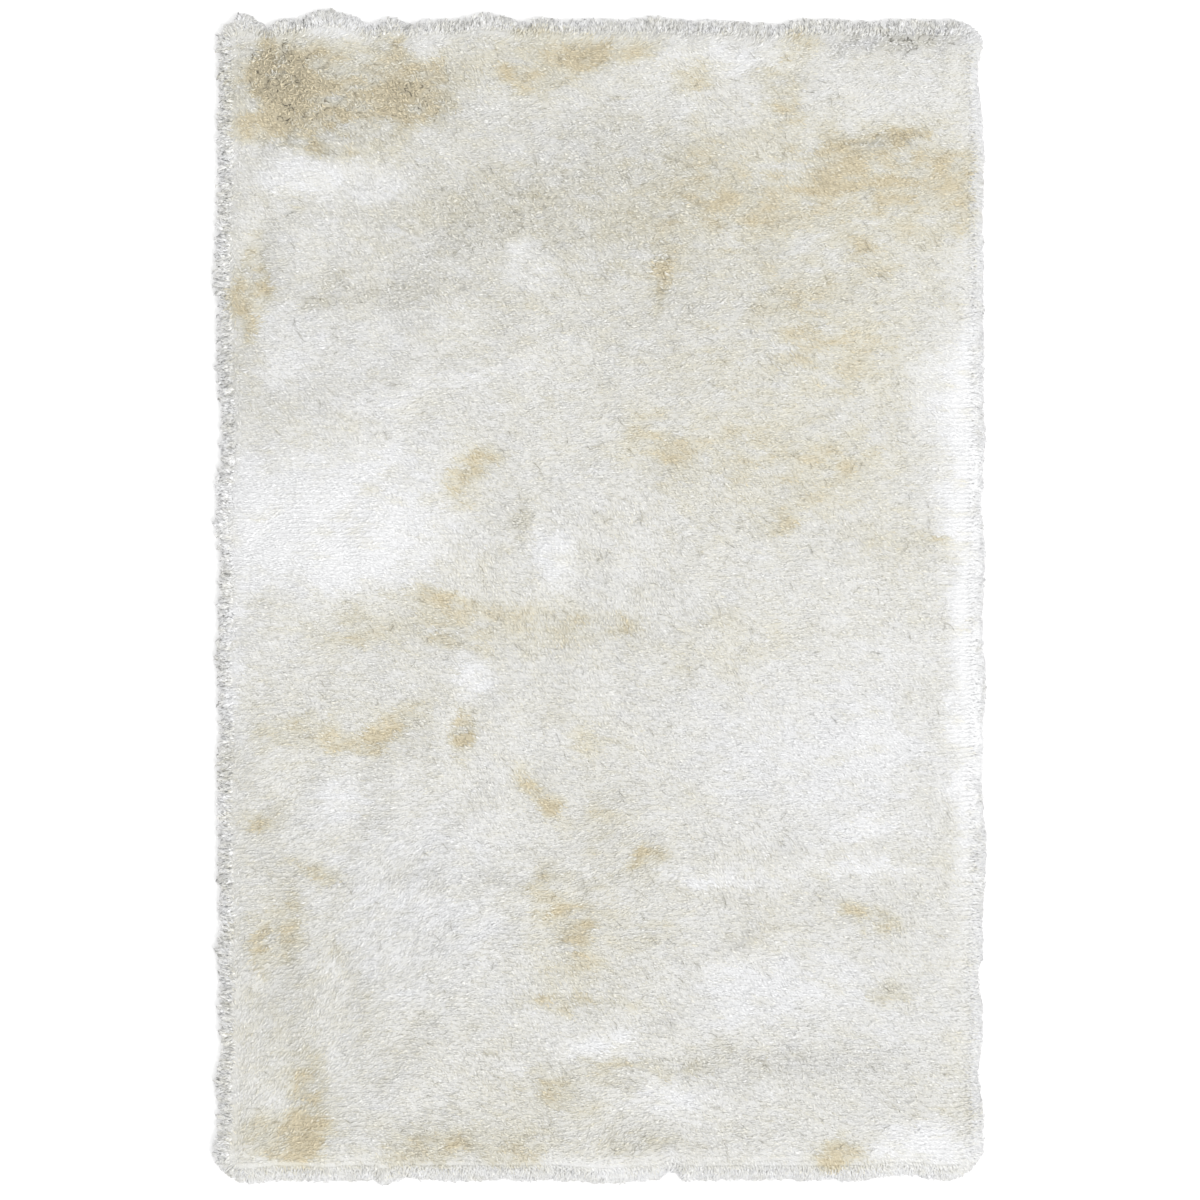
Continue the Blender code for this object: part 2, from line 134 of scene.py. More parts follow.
# Patches that traffic and brushing left in the pile. Each was judged by eye on the photo, and its
# place and half sizes are in the photo's pixels. "tint" runs from 0 for white yarn to 1 for tan,
# and "sleek" from -1 for matted, upright yarn to 1 for yarn brushed flat and glossy.
# Sleek yarn is also painted lighter, as painted sheen, and matted yarn darker, as painted shade.
PHOTO_SCALE = 0.001985  # metres in a pixel
PHOTO_MIDDLE = (600.75, 600.25)  # the pixel at the rug's middle
Patch = namedtuple("Patch", "x y half_length half_width heading tint sleek")
PATCH_ROWS = (
    (570, 240, 320, 165, 0, 0.04, -0.15),  # broad changes under the smaller ones
    (840, 650, 160, 160, 0, -0.04, 0.12),
    (850, 790, 130, 60, 0, -0.06, 0.08),
    (765, 310, 220, 200, -30, 0.06, 0.02),
    (690, 470, 130, 75, -20, 0.07, 0.0),
    (725, 165, 100, 62, 0, 0.14, 0.0),
    (890, 490, 95, 110, 0, 0.05, 0.0),
    (420, 900, 115, 120, 0, -0.16, 0.03),
    (800, 745, 150, 75, 0, -0.14, 0.04),
    (820, 1000, 160, 62, 0, -0.14, 0.04),
    (330, 350, 130, 62, 0, -0.12, -0.02),
    (575, 940, 66, 62, 0, 0.22, -0.06),
    (278, 905, 62, 44, 84, 0.12, -0.02),
    (600, 1090, 74, 60, 0, 0.1, -0.03),
    (248, 545, 105, 32, 90, -0.15, 0.35),
    (278, 86, 60, 56, 0, 0.62, -0.38),  # matted corner block
    (350, 92, 116, 56, 0, 0.4, -0.3),
    (424, 100, 34, 26, 0, 0.2, -0.16),
    (418, 60, 60, 14, -14, 0.26, -0.12),
    (350, 121, 66, 10, 3, 0.5, -0.1),
    (425, 92, 66, 40, 0, 0.1, -0.15),
    (272, 62, 28, 22, 0, 0.1, -0.4),
    (276, 134, 58, 18, -6, 0.34, -0.15),
    (348, 25, 40, 12, 0, -0.15, 0.35),
    (550, 56, 85, 30, 4, 0.42, -0.15),  # head strip
    (506, 80, 24, 14, 0, 0.45, -0.05),
    (590, 45, 34, 14, 8, 0.25, -0.15),
    (624, 52, 40, 20, 10, 0.2, -0.05),
    (470, 56, 50, 26, 10, 0.12, 0.0),
    (800, 46, 28, 13, 0, 0.55, -0.05),
    (892, 42, 95, 15, 0, -0.2, -0.45),
    (700, 34, 85, 12, 0, -0.1, -0.3),
    (892, 84, 96, 30, 0, -0.1, 0.0),
    (722, 62, 90, 14, 0, -0.15, 0.4),
    (700, 80, 32, 20, 0, 0.3, 0.0),
    (782, 96, 32, 32, 0, 0.25, -0.1),
    (882, 160, 116, 44, -3, 0.36, -0.12),  # right parting's tan block
    (795, 95, 44, 16, 90, 0.25, -0.05),
    (872, 142, 66, 13, 2, 0.34, -0.22),
    (905, 208, 88, 40, -8, 0.2, -0.04),
    (962, 190, 28, 64, 0, 0.25, -0.15),
    (832, 188, 56, 36, -45, 0.16, -0.06),
    (868, 256, 54, 15, -35, 0.28, -0.08),
    (800, 230, 180, 120, 0, 0.09, -0.02),
    (780, 420, 150, 110, 0, 0.08, 0.0),
    (762, 206, 64, 28, 0, 0.2, -0.06),
    (788, 162, 28, 13, 0, -0.3, 0.15),
    (640, 180, 110, 90, 0, 0.08, -0.12),  # grey and cream above the middle
    (655, 278, 46, 12, 86, 0.28, -0.15),
    (792, 318, 60, 50, -70, 0.2, -0.06),
    (852, 360, 64, 42, 0, 0.2, 0.0),
    (662, 446, 58, 36, -42, 0.28, -0.08),
    (812, 478, 82, 46, 18, 0.2, -0.08),
    (776, 520, 22, 13, 0, 0.3, -0.08),
    (872, 540, 84, 32, 0, 0.12, -0.08),
    (947, 550, 32, 17, 0, 0.38, -0.08),
    (722, 458, 54, 32, 0, 0.12, -0.05),
    (249, 290, 66, 20, 90, 0.6, -0.25),  # left side
    (250, 330, 30, 13, 90, 0.15, -0.05),
    (250, 366, 44, 16, 90, 0.2, -0.08),
    (307, 196, 24, 12, 0, 0.2, -0.15),
    (305, 180, 52, 26, 2, -0.22, 0.42),
    (340, 148, 96, 12, -2, 0.26, -0.14),
    (372, 190, 70, 30, 0, -0.1, 0.15),
    (410, 160, 42, 14, 0, 0.16, -0.05),
    (482, 212, 130, 50, 0, 0.05, -0.15),
    (530, 262, 36, 18, -55, -0.12, 0.38),
    (320, 300, 32, 11, 0, 0.25, -0.18),
    (385, 290, 120, 20, 0, 0.0, -0.18),
    (524, 366, 74, 18, 20, -0.1, 0.25),
    (432, 390, 84, 14, 14, -0.1, 0.28),
    (280, 402, 64, 30, 0, 0.0, -0.14),
    (340, 520, 135, 88, 0, -0.35, 0.75),  # broad brushed white
    (322, 560, 64, 36, 0, -0.1, 0.25),
    (405, 450, 64, 26, 0, -0.1, 0.22),
    (470, 477, 44, 22, 42, 0.5, -0.08),
    (552, 556, 46, 23, 88, -0.28, 0.5),
    (514, 520, 38, 12, 90, 0.1, -0.28),
    (440, 592, 36, 12, 5, 0.48, -0.12),  # cream row across the middle
    (402, 622, 118, 34, 5, 0.24, -0.06),
    (562, 628, 124, 32, -5, 0.2, -0.04),
    (456, 646, 32, 12, -10, 0.38, -0.18),
    (628, 632, 20, 9, 80, 0.42, -0.15),
    (732, 640, 74, 36, 0, 0.18, -0.08),
    (475, 680, 26, 17, 45, -0.3, 0.5),
    (332, 640, 32, 20, 0, 0.22, -0.08),
    (330, 738, 84, 18, 3, 0.42, -0.1),  # second cream row
    (402, 716, 36, 18, 30, 0.36, -0.08),
    (378, 734, 26, 14, 60, 0.2, -0.1),
    (462, 735, 28, 12, 90, 0.75, -0.2),
    (540, 787, 38, 18, -42, 0.6, -0.14),
    (586, 745, 22, 15, 0, 0.22, 0.0),
    (346, 800, 36, 30, 0, -0.2, 0.32),
    (266, 820, 26, 18, 0, 0.33, -0.18),
    (602, 820, 32, 24, 30, 0.28, -0.08),
    (646, 860, 24, 16, 20, 0.45, -0.1),
    (480, 880, 205, 12, 0, 0.05, -0.22),
    (262, 945, 32, 13, 80, 0.42, -0.1),
    (298, 930, 40, 14, 78, 0.3, -0.06),
    (336, 956, 32, 14, -60, 0.28, -0.18),
    (322, 870, 30, 12, -20, 0.36, -0.1),
    (568, 920, 50, 28, -50, 0.3, -0.06),
    (546, 886, 26, 12, 80, 0.2, -0.06),
    (570, 998, 64, 8, 0, 0.42, -0.2),
    (662, 940, 42, 26, 0, 0.22, -0.08),
    (640, 1006, 54, 10, 0, 0.18, -0.08),
    (720, 875, 74, 10, -3, -0.25, 0.5),  # white streaks right of the middle
    (860, 868, 74, 8, -6, -0.3, 0.6),
    (866, 830, 37, 15, 0, -0.3, 0.5),
    (872, 750, 44, 36, 0, -0.1, 0.22),
    (866, 920, 46, 14, -28, 0.42, -0.08),
    (886, 990, 30, 20, 0, 0.33, -0.22),
    (746, 935, 32, 16, 0, 0.15, -0.08),
    (782, 985, 90, 44, 15, -0.14, 0.18),  # triangular swell
    (732, 985, 30, 34, 0, -0.1, 0.2),
    (600, 1045, 64, 14, -3, -0.25, 0.5),
    (660, 1105, 64, 22, -5, -0.2, 0.4),
    (780, 1062, 155, 20, 0, 0.0, -0.18),
    (652, 1070, 94, 8, -4, 0.2, -0.08),
    (308, 1128, 54, 28, 90, 0.55, -0.15),  # foot
    (306, 1076, 34, 18, 60, 0.24, -0.08),
    (268, 1140, 42, 30, 0, 0.32, -0.18),
    (432, 1150, 64, 20, 10, 0.32, -0.22),
    (556, 1086, 42, 24, 10, 0.28, -0.14),
    (522, 1146, 42, 20, 20, 0.22, -0.14),
    (642, 1150, 64, 14, -5, 0.18, -0.14),
    (836, 1157, 34, 18, 10, 0.6, -0.15),
    (892, 1164, 36, 10, 0, 0.28, -0.08),
    (922, 1148, 64, 30, 8, -0.32, 0.6),
    (602, 1170, 64, 12, -8, -0.1, 0.28),
    (560, 1140, 220, 44, 0, 0.08, -0.06),
    (290, 1000, 115, 46, 90, 0.06, -0.12),
    # its brightness is whiter yarn and painted sheen
    (965, 620, 350, 20, 90, -0.34, 0.95),  # bright band along the right side
    (948, 390, 70, 46, 90, -0.2, 0.48),
    (956, 482, 64, 28, 90, -0.2, 0.38),
    (966, 700, 136, 20, 90, -0.1, 0.28),
    (236, 660, 110, 16, 90, -0.22, 0.3),
)
BASE_TINT = 0.30
MOTTLE = ((0.110, 0.08, 0.08), (0.035, 0.09, 0.03), (0.011, 0.22, 0.05))  # size, and reach in tint and sleek
MOTTLE_STRETCH = 2.2  # how much longer the mottling is along the rows
PATCH_EDGE = (0.25, 1.22)  # where a patch starts to fade and where it ends, in its own radii
PATCH_STRAY = ((0.120, 0.018), (0.045, 0.022), (0.016, 0.018))  # how its edge strays: size and reach
PATCH_GRAIN = (0.017, 1.3)  # how a patch breaks up: size in metres, and reach
CREASE = (0.055, 0.045)  # partings between tufts: size of their bends, and noise at which they end
CREASE_FADE = (0.0, 0.25)  # noise at which a parting is gone, and at which it is whole
CREASE_FADE_SIZE = 0.8
CREASE_DEPTH = 0.0016
# painted shade in the partings: how much darker, and how much more tan, their yarn is
CREASE_SHADE = 0.05
CREASE_SHADE_TINT = 0.15
PIT_SIZE = 0.009  # holes between the matted tufts
PIT_EDGE = (0.20, 0.36)  # noise at which a pit starts, and at which it is deepest
PIT_DEPTH = 0.0055
# painted shade in the pits: how much darker, and how much more tan, their yarn is
PIT_SHADE = 0.65
PIT_SHADE_TINT = 0.3
PIT_MATTED = (2.5, 0.25)  # how whole a pit is: this for each unit of matting, less this, up to 1

# Layers of the noise. Each is a pattern of its own.
LUMP_LAYER = 0.0
STRAY_LAYERS = (3.5, 7.5)
SWIRL_LAYER = 11.5
ROW_LAYER = 25.5
RAGGED_LAYER = 31.5
TUFT_LAYER = 35.5
SWAY_LAYER = 37.5
BED_LAYER = 41.5
MOTTLE_LAYERS = (51.5, 57.5)
GRAIN_LAYER = 61.5
CREASE_LAYERS = (65.5, 67.5)
PIT_LAYER = 71.5
TUFT_SHADE_LAYER = 75.5

# The way the pile lies: near each place the tips point to this heading, in degrees from +X.
Comb = namedtuple("Comb", "x y reach heading")
COMBS = [Comb(*row) for row in (
    (-0.60, 0.95, 0.30, -20),
    (0.00, 0.85, 0.40, -9),
    (0.60, 0.85, 0.30, -12),
    (-0.40, 0.45, 0.35, -18),
    (0.10, 0.50, 0.30, -4),
    (0.60, 0.35, 0.35, -17),
    (-0.60, 0.00, 0.25, -5),
    (0.00, -0.08, 0.22, -48),
    (0.45, 0.00, 0.30, -24),
    (-0.25, -0.20, 0.25, -32),
    (-0.62, -0.50, 0.22, 18),
    (-0.42, -0.68, 0.15, 66),
    (0.02, -0.50, 0.12, 36),
    (0.30, -0.55, 0.40, -20),
    (0.65, -0.55, 0.25, -28),
    (-0.62, -0.88, 0.18, 51),
    (-0.25, -0.90, 0.25, -20),
    (0.03, -1.02, 0.10, 36),
    (0.45, -0.95, 0.35, -21),
)]
LEAST_COMB = 1e-4  # what a comb counts for far away
SWIRLS = ((0.130, 0.5), (0.045, 0.30))  # noise in the heading: size in metres and radians
SWIRL_HELD = 0.6  # how much of it the rim takes away
SWIRL_OF_ONE = 0.42  # how far a single yarn end strays, in radians
CALM_SLEEK = 0.7  # how much of its straying, rising and turning sleek yarn loses
WIDER_SLEEK = 0.4  # how much wider sleek yarn ends are, as a share
LEFTWARD = (0.80, 0.20)  # the share that lies the other way, at the left rim and at the right
RIM_PULL = 0.050  # width of the band in which the pile turns outward
RIM_PULL_POWER = 1.5

# Yarn ends of the field, tufted in rows across the rug.
ROW_PITCH = 0.0095
STITCH = 0.00190
ROOT_INSET = 0.020
ROW_WANDER = 0.0009
YARN_RUN = 0.0125  # how far a yarn end reaches in plan
LEAST_RUN = 0.006
SHORT_MATTED = 0.5  # how much of that reach matted yarn loses, as it stands up
STRAY_MATTED = 1.4  # how far matted yarn ends stray, in radians
YARN_RUN_SPREAD = 0.0040
ROW_RIPPLE = 0.0014  # how far the tips of a row stand above the dip to the next one
ROW_STRAY = (0.060, 0.5)  # how the rows stray: size in metres, reach in rows
# painted light on the crests of the rows and painted shade in the dips between them
ROW_PAINTED_SHADE = 0.055
YARN_WIDTH = (0.0017, 0.0028)
YARN_FLATNESS = 0.35
YARN_WIDEST = (0.52, 0.70)  # share of its length at which it is widest
ROOT_DEPTH = 0.0050
TIP_SPREAD = 0.0026
MATTED_SPREAD = 0.4  # how much more of that matted yarn has
YARN_ROLL = 0.45  # how far a yarn end turns about its own length, in radians
YARN_TINT = (0.035, 0.07)  # how much their tints differ: at least, and more where they are tan
# Painted sheen and painted shade: sleek yarn is painted lighter for its gloss, and matted, upright yarn
# darker for the shade between its ends.
SLEEK_PAINTED_SHEEN = 0.055  # how much lighter sleek yarn is
MATTED_PAINTED_SHADE = 0.05  # how much darker matted yarn is
YARN_SHADE = 0.100  # how much one yarn end differs from the next
YARN_SHADE_CALM = 0.9
YARN_SHADE_MATTED = 1.7
STITCH_STRAY = 0.15
STITCH_STEPS = (0.6710, 0.5698, 0.7549, 0.8192, 0.6180)  # shares of a turn: none is near a simple ratio
CURL = 0.0014
SOFT_NORMALS = 0.42  # how far a yarn end is shaded as the pile that it lies on
SOFTER_SLEEK = 0.25  # how much more than that sleek yarn is
SOFT_FACING = 0.1  # the least that a face points the pile's way to be shaded so
CLUMP_SIZE = 0.012
CELLS = 4096  # cells of the clumps' grid before its stirring repeats
CELL_STEPS = (127, 311)
CELL_STIR = (0.1, 0.9)
CLUMP_PULL = 0.03
MATTED_PULL = 0.75
PIECES_OF_FIELD = 4

# Painted shade: dark yarn ends in short chains, along the partings between tufts, stand for the shade down
# in them.
PARTINGS = 2000  # places tried, of which fewer are kept where the pile is sleek
PARTING_CHANCE = 0.25  # the chance that a place is kept in plain yarn
PARTING_TAN = 0.9  # how much that grows with tint
PARTING_MATTED = 0.8  # how much it grows where the yarn is matted
PARTING_SLEEK = 0.6  # how much it falls where the yarn is sleek
PARTING_INSET = 0.050
PARTING_HEADINGS = (-52.0, -38.0, -60.0, 44.0, -8.0)
PARTING_TURN = 16.0  # how far their headings stray, in degrees
PARTING_LENGTH = (0.006, 0.015)
PARTING_STEPS = 2
PARTING_OVERLAP = 0.25
PARTING_BEND = 0.35
PARTING_WIDTH = (0.0011, 0.0019)
PARTING_RISE = 0.0010
PARTING_ROLL = 0.3
# painted shade: how much more tan, and how dark, these yarn ends are
PARTING_SHADE_TINT = 0.25
PARTING_SHADE = (0.42, 0.70)

# Yarn ends on the rim. The pile turns over it along an arc from the shoulder to the floor.
ARC_WIDTH = 0.024
ARC_FOOT = 0.007  # height at which the rim stands furthest out
ARC_ROWS = (122, 109, 96, 84, 72, 59, 46, 33, 20, 6)  # where each is rooted, in degrees above that height
ARC_SPAN = 33  # how far down the arc a yarn end reaches, in degrees
ARC_SPAN_SPREAD = 8
ARC_START_SPREAD = 4.0
ARC_END = -38
ARC_UNDER = 1.5  # half height of the arc's lower part, in heights of its foot
ARC_LINE = ((0.0, -ROOT_DEPTH), (0.6, 0.0), (1.0, 0.0004))  # share of the span, and height over the arc
OUTLINE_STEPS = 1200
TANGENT_REACH = 0.012
RIM_STITCH = 0.00172
RIM_SWAY = 0.007
RIM_SWAY_SIZE = 0.030
RIM_SWAY_OF_ONE = 0.8
RIM_SWAY_TUFTED = (1.5, 0.5)  # how far it goes in loose yarn, and what tufting takes from that
TUFTED = (0.55, -0.55, 0.25)  # how tufted the rim is: base, and what facing +X and +Y adds
TUFTED_LEAST = 0.25
TUFT_PITCH = 0.017  # the tufts that the rim gathers into
TUFT_STRAY = (0.060, 1.6)  # how their places stray: size in metres, and reach in tufts
TUFT_PULL = 0.0042
TUFT_REACH = 0.0034
TUFT_RISE = 0.0016
# painted light and shade over the clumps of the tufted rim
TUFT_SHADE = ((0.0042, 0.36), (0.011, 0.10))  # size and reach
RIM_RAGGED = ((0.045, 0.0045), (0.014, 0.0042), (0.0045, 0.0056))  # how the outline strays: size and reach
RAGGED_TUFTED = (0.4, 0.6)  # the share of that which all of the rim has, and what tufting adds
RIM_SPREAD = 0.0024
RIM_TIP_SPREAD = 0.6
RIM_TINT = (-0.14, -0.12)  # how much whiter the rim is: everywhere, and more toward +X
RIM_TINT_SPREAD = 0.06
# painted sheen on sleek rim yarn and painted shade on matted rim yarn
RIM_SHEEN_AND_SHADE = 0.09
RIM_YARN_SHADE = (0.2, 2.2)  # share of YARN_SHADE that the rim has, and what tufting adds
RIM_RIGHT_SHADE = 0.04  # how much darker it is toward +X
# painted light on the tufted left and head sides of the rim, which face away from the key light
RIM_PAINTED_LIGHT = 0.19  # how much lighter it is where tufted
# painted shade on the lowest yarn ends of the tufted rim, near the floor
RIM_EDGE_SHADE = 0.13  # how much darker the lowest yarn ends are
RIM_EDGE_SHADE_TOP = 45  # where that starts, in degrees up the arc
# painted shade between the tufts of the rim
TUFT_HOLLOW_SHADE = 0.04  # how much darker it is between tufts
DARK_ENDS = (0.17, 0.50)  # the share of the rim's yarn ends that lie in shade, and how dark that is
FLOOR_GAP = 0.0006  # the least height of a yarn end

# The mass of the pile under the yarn ends.
BED_CELLS = (124, 188)
BED_DEPTH = 0.0034
BED_MATTED = 0.004  # how much deeper it lies where the yarn is matted
BED_INSET = 0.013
BED_BUMPS = ((0.030, 0.0004), (0.012, 0.0006))
BED_FOOT = 0.003
BED_EDGE = (0.02, 0.007)  # width of the band in which it falls to the rim, and how far
# painted shade: the bed shows only down between the yarn ends, so it is darker than the yarn, lighter where
# sleek, and darker and more tan where matted
BED_TINT_AND_SHADE = (-0.05, 0.3)  # against the yarn over it: everywhere, and more where it is matted
BED_PAINTED_SHADE = (0.84, 0.06, 0.32)  # how light it is: base, more where sleek, and less where matted

# The cloth that carries the tufts.
CLOTH_INSET = 0.026
CLOTH_THICKNESS = 0.003
CLOTH_CELLS = (38, 58)
THREAD_PITCH = 0.0028


def smooth_step(low, high, value):
    t = np.clip((value - low) / (high - low), 0.0, 1.0)
    return t * t * (3 - 2 * t)


def soft_noise(x, y, size, layer):
    """Smooth noise about 0 with features of this size. Each layer is another pattern."""
    places = zip((x / size).tolist(), (y / size).tolist())
    return np.array([noise.noise(Vector((a, b, layer))) for a, b in places])


def bulge_at(side, along):
    """How far the outline stands out from the straight at places of a side."""
    total = np.zeros_like(along)
    for middle, half_span, reach in BULGES[side]:
        off = np.clip(np.abs(along - middle) / half_span, 0.0, 1.0)
        total += reach * np.cos(off * math.pi / 2) ** 2
    return total


def corner_radius_at(x, y):
    radius = np.empty_like(x)
    for (sign_x, sign_y), value in CORNER_RADIUS.items():
        radius[((x > 0) == (sign_x > 0)) & ((y > 0) == (sign_y > 0))] = value
    return radius


def plan_points(u, v, inset):
    """Places in plan of points of the square from -1 to 1, this far inside the tips' outline."""
    half_width = RUG_WIDTH / 2 - inset
    half_length = RUG_LENGTH / 2 - inset
    x = half_width * u
    y = half_length * v
    radius = np.maximum(corner_radius_at(x, y) + RIM_INSET - inset, LEAST_RADIUS)
    p = 1 - (half_width - np.abs(x)) / radius
    q = 1 - (half_length - np.abs(y)) / radius
    in_corner = (p > 0) & (q > 0)
    p = np.clip(p, 0.0, 1.0)
    q = np.clip(q, 0.0, 1.0)
    round_x = half_width - radius + radius * p * np.sqrt(1 - q * q / 2)
    round_y = half_length - radius + radius * q * np.sqrt(1 - p * p / 2)
    x = np.where(in_corner, np.sign(x) * round_x, x)
    y = np.where(in_corner, np.sign(y) * round_y, y)
    fade_x = np.maximum(0.0, 1 - (half_width - np.abs(x)) / BULGE_DEPTH) ** 2
    fade_y = np.maximum(0.0, 1 - (half_length - np.abs(y)) / BULGE_DEPTH) ** 2
    out_x = np.where(x > 0, bulge_at("right", y), bulge_at("left", y)) * fade_x
    out_y = np.where(y > 0, bulge_at("head", x), bulge_at("foot", x)) * fade_y
    x = x + np.where(x > 0, out_x, -out_x) + RUG_MIDDLE[0]
    y = y + np.where(y > 0, out_y, -out_y) + RUG_MIDDLE[1]
    return x, y


def ellipse_distance(shape, x, y):
    """Distance from the middle of a fold or patch, where 1 is its edge."""
    heading = math.radians(shape.heading)
    dx = x - shape.x
    dy = y - shape.y
    along = (dx * math.cos(heading) + dy * math.sin(heading)) / shape.half_length
    across = (dy * math.cos(heading) - dx * math.sin(heading)) / shape.half_width
    return np.hypot(along, across)


def pile_height(x, y, inside):
    """Height of the lying pile at places this far inside the rim."""
    rise = LUMP_RISE * soft_noise(x, y, LUMP_SIZE, LUMP_LAYER)
    for fold in FOLDS:
        off = np.clip(ellipse_distance(fold, x, y), 0.0, 1.0)
        rise += fold.rise * np.cos(off * math.pi / 2) ** 2
    fall = np.maximum(0.0, 1 - inside / SHOULDER) ** 2
    return PILE_TOP - (PILE_TOP - RIM_TOP) * fall + rise * (1 - fall)


def patch_on_rug(x, y, half_length, half_width, heading, tint, sleek):
    """A patch in the frame's metres, to the millimetre, from its row in the photo's pixels."""
    x = (x - PHOTO_MIDDLE[0]) * PHOTO_SCALE + RUG_MIDDLE[0]
    y = (PHOTO_MIDDLE[1] - y) * PHOTO_SCALE + RUG_MIDDLE[1]
    sizes = (x, y, half_length * PHOTO_SCALE, half_width * PHOTO_SCALE)
    return Patch(*(round(size, 3) for size in sizes), heading, tint, sleek)


PATCHES = [patch_on_rug(*row) for row in PATCH_ROWS]


def patches_at(x, y):
    """Tint and sleekness of the pile at places in plan."""
    stray_x = x.copy()
    stray_y = y.copy()
    for layer, (size, reach) in enumerate(PATCH_STRAY):
        stray_x += reach * soft_noise(x, y, size, STRAY_LAYERS[0] + layer)
        stray_y += reach * soft_noise(x, y, size, STRAY_LAYERS[1] + layer)
    along = x / MOTTLE_STRETCH
    grain = 1 + PATCH_GRAIN[1] * soft_noise(along, y, PATCH_GRAIN[0], GRAIN_LAYER)
    tint = np.full_like(x, BASE_TINT)
    sleek = np.zeros_like(x)
    for patch in PATCHES:
        share = 1 - smooth_step(*PATCH_EDGE, ellipse_distance(patch, stray_x, stray_y))
        tint += patch.tint * share * grain
        sleek += patch.sleek * share
    for layer, (size, in_tint, in_sleek) in enumerate(MOTTLE):
        tint += in_tint * soft_noise(along, y, size, MOTTLE_LAYERS[0] + layer)
        sleek += in_sleek * soft_noise(along, y, size, MOTTLE_LAYERS[1] + layer)
    return tint, np.clip(sleek, -1.0, 1.0)


def lay_at(x, y, outward_x, outward_y):
    """Heading of the tips at places in plan, where the rim pulls them outward."""
    lay_x = np.zeros_like(x)
    lay_y = np.zeros_like(x)
    for comb in COMBS:
        weight = np.exp(-((x - comb.x) ** 2 + (y - comb.y) ** 2) / comb.reach**2) + LEAST_COMB
        lay_x += weight * math.cos(math.radians(comb.heading))
        lay_y += weight * math.sin(math.radians(comb.heading))
    length = np.hypot(lay_x, lay_y)
    pull = np.clip(np.hypot(outward_x, outward_y), 0.0, 1.0)
    lay_x = lay_x / length * (1 - pull) + outward_x
    lay_y = lay_y / length * (1 - pull) + outward_y
    heading = np.arctan2(lay_y, lay_x)
    for layer, (size, turn) in enumerate(SWIRLS):
        heading += turn * soft_noise(x, y, size, SWIRL_LAYER + layer) * (1 - SWIRL_HELD * pull)
    return heading


def clump_centres(x, y, rng):
    """The middle of the clump that each place belongs to: the nearest point of a stirred grid."""
    stir = rng.uniform(*CELL_STIR, (CELLS, 2))
    cell_x = np.floor(x / CLUMP_SIZE)
    cell_y = np.floor(y / CLUMP_SIZE)
    best = np.full_like(x, np.inf)
    centre_x = x.copy()
    centre_y = y.copy()
    for step_x in (-1, 0, 1):
        for step_y in (-1, 0, 1):
            i = cell_x + step_x
            j = cell_y + step_y
            key = ((i * CELL_STEPS[0] + j * CELL_STEPS[1]) % CELLS).astype(int)
            point_x = (i + stir[key, 0]) * CLUMP_SIZE
            point_y = (j + stir[key, 1]) * CLUMP_SIZE
            distance = (point_x - x) ** 2 + (point_y - y) ** 2
            nearer = distance < best
            best = np.where(nearer, distance, best)
            centre_x = np.where(nearer, point_x, centre_x)
            centre_y = np.where(nearer, point_y, centre_y)
    return centre_x, centre_y


# Many yarn ends. "line" holds the root, middle and tip of each, "up" the way that the pile under it
# faces, and "softness" how far it is shaded that way.
# "shade" is how light each yarn end is painted: its own tone together with painted shade and painted sheen.
Strands = namedtuple("Strands", "line widths roll tint shade up softness")


def blade_verts(strands):
    """Points of closed, four-sided slivers with a ridge from root to tip."""
    root, middle, tip = (strands.line[:, k] for k in range(3))
    length = np.linalg.norm(tip - root, axis=1)[:, None]
    ahead = (tip - root) / length
    side = np.stack([-ahead[:, 1], ahead[:, 0], np.zeros(len(ahead))], 1)
    side /= np.linalg.norm(side, axis=1)[:, None]
    up = np.cross(ahead, side)
    across = side * np.cos(strands.roll)[:, None] + up * np.sin(strands.roll)[:, None]
    half = strands.widths / 2
    share = np.sum((middle - root) * ahead, axis=1)[:, None] / length
    bend = np.sum((middle - root) * side, axis=1)[:, None]
    low = root + (tip - root) * share + across * bend
    low -= np.cross(ahead, across) * half * YARN_FLATNESS
    points = np.stack([root, low + across * half, low - across * half, tip], 1)
    points[:, :, 2] = np.maximum(points[:, :, 2], FLOOR_GAP)
    return points


BLADE_FACES = np.array([(0, 3, 1), (0, 2, 3), (0, 1, 2), (3, 2, 1)])
# Painted shade along each yarn end, darkest at its root down in the pile.
ALONG_PAINTED_SHADE = (0.92, 0.98, 0.98, 1.0)  # how light a yarn end is at its root, sides and tip
MAP_MARGIN = 0.06


def add_plan_map(mesh, corner_xy):
    """A map that lays each face out where it is seen from above."""
    spread = np.array([RUG_WIDTH + MAP_MARGIN, RUG_LENGTH + MAP_MARGIN])
    share = np.clip(corner_xy / spread + 0.5, 0.0, 1.0)
    layer = mesh.uv_layers.new(name="OFBake")
    layer.data.foreach_set("uv", share.astype(np.float32).ravel())


def add_values(mesh, name, values):
    attribute = mesh.attributes.new(name, "FLOAT", "POINT")
    attribute.data.foreach_set("value", values.astype(np.float32).ravel())


def soften_normals(mesh, up, softness):
    """Shades the top of a yarn end partly as the pile it lies on, as fine fibres scatter light."""
    normals = np.empty(len(mesh.loops) * 3, np.float32)
    mesh.corner_normals.foreach_get("vector", normals)
    normals = normals.reshape(-1, 3)
    faces = np.empty(len(mesh.polygons) * 3, np.float32)
    mesh.polygons.foreach_get("normal", faces)
    faces = np.repeat(faces.reshape(-1, 3), 3, axis=0)
    corners = len(normals) // len(up)
    up = np.repeat(up, corners, axis=0)
    softness = np.repeat(softness, corners)[:, None]
    soft = normals * (1 - softness) + up * softness
    soft = np.where(np.sum(faces * up, axis=1)[:, None] > SOFT_FACING, soft, faces)
    soft /= np.linalg.norm(soft, axis=1)[:, None]
    mesh.normals_split_custom_set(soft.tolist())


